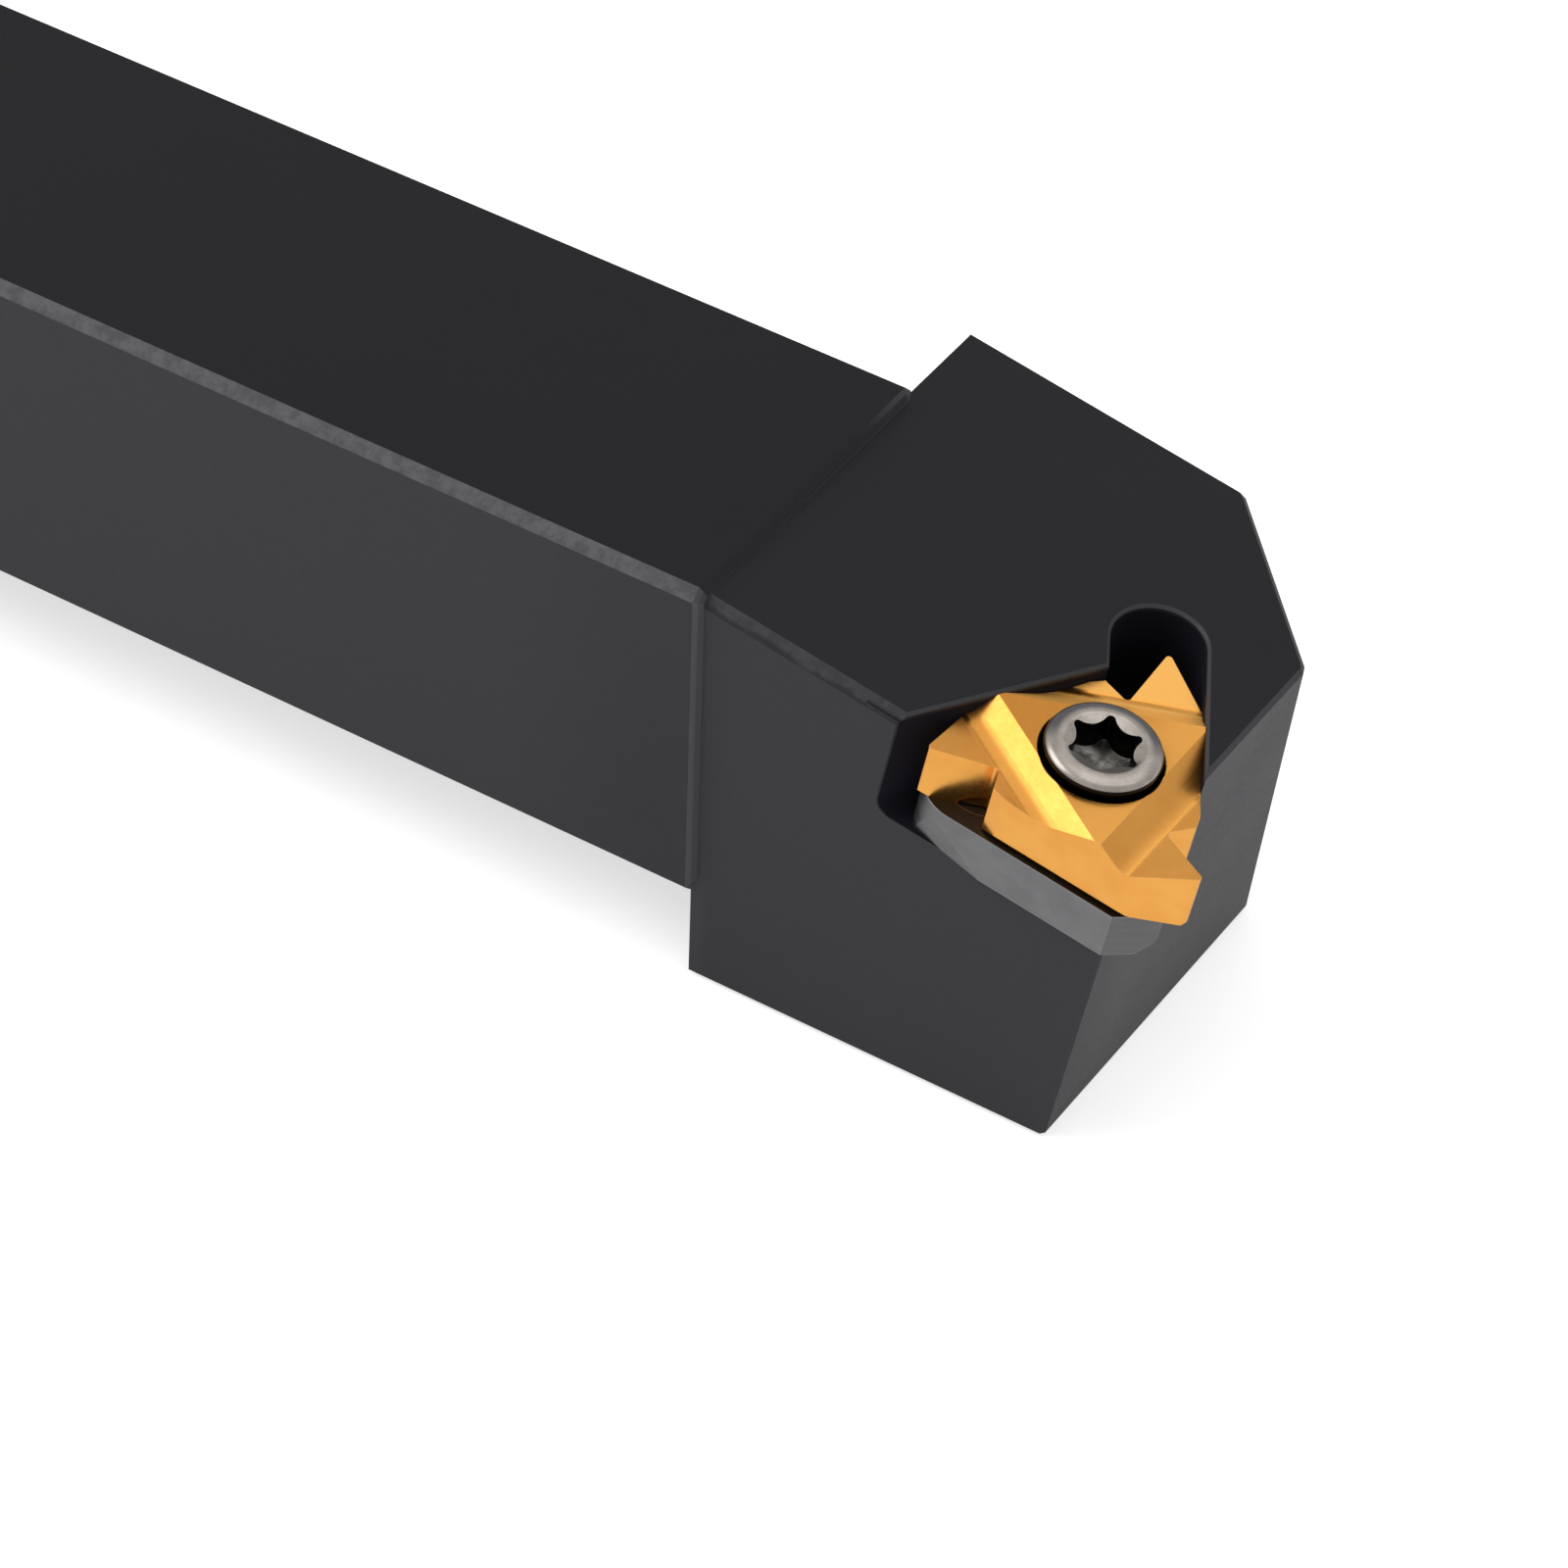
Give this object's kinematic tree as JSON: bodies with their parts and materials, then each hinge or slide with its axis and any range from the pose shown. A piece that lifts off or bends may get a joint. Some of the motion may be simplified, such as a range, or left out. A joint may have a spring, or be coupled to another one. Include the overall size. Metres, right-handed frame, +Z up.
{
  "type": "external threading tool holder",
  "caption": "Square-shank turning tool with a widened, sloping head that clamps a triangular threading insert on a shim with a countersunk screw.",
  "frame": {"origin": "middle of the shank's bottom seat face", "axes": "+X along the shank towards the cutting end, +Y towards the side where the head overhangs the shank, +Z up from the seat to the insert"},
  "size_m": [0.15, 0.0325, 0.0322],
  "materials": {
    "black_steel": "black oxide, satin",
    "coated_carbide": "gold coated carbide, satin",
    "screw_steel": "satin",
    "shim_grey": "ground carbide, dull",
    "shim_screw_steel": "satin"
  },
  "bodies": {
    "root": {"tool_holder": "black_steel", "threading_insert": "coated_carbide", "insert_screw": "screw_steel", "shim": "shim_grey", "shim_screw": "shim_screw_steel"}
  },
  "joints": []
}
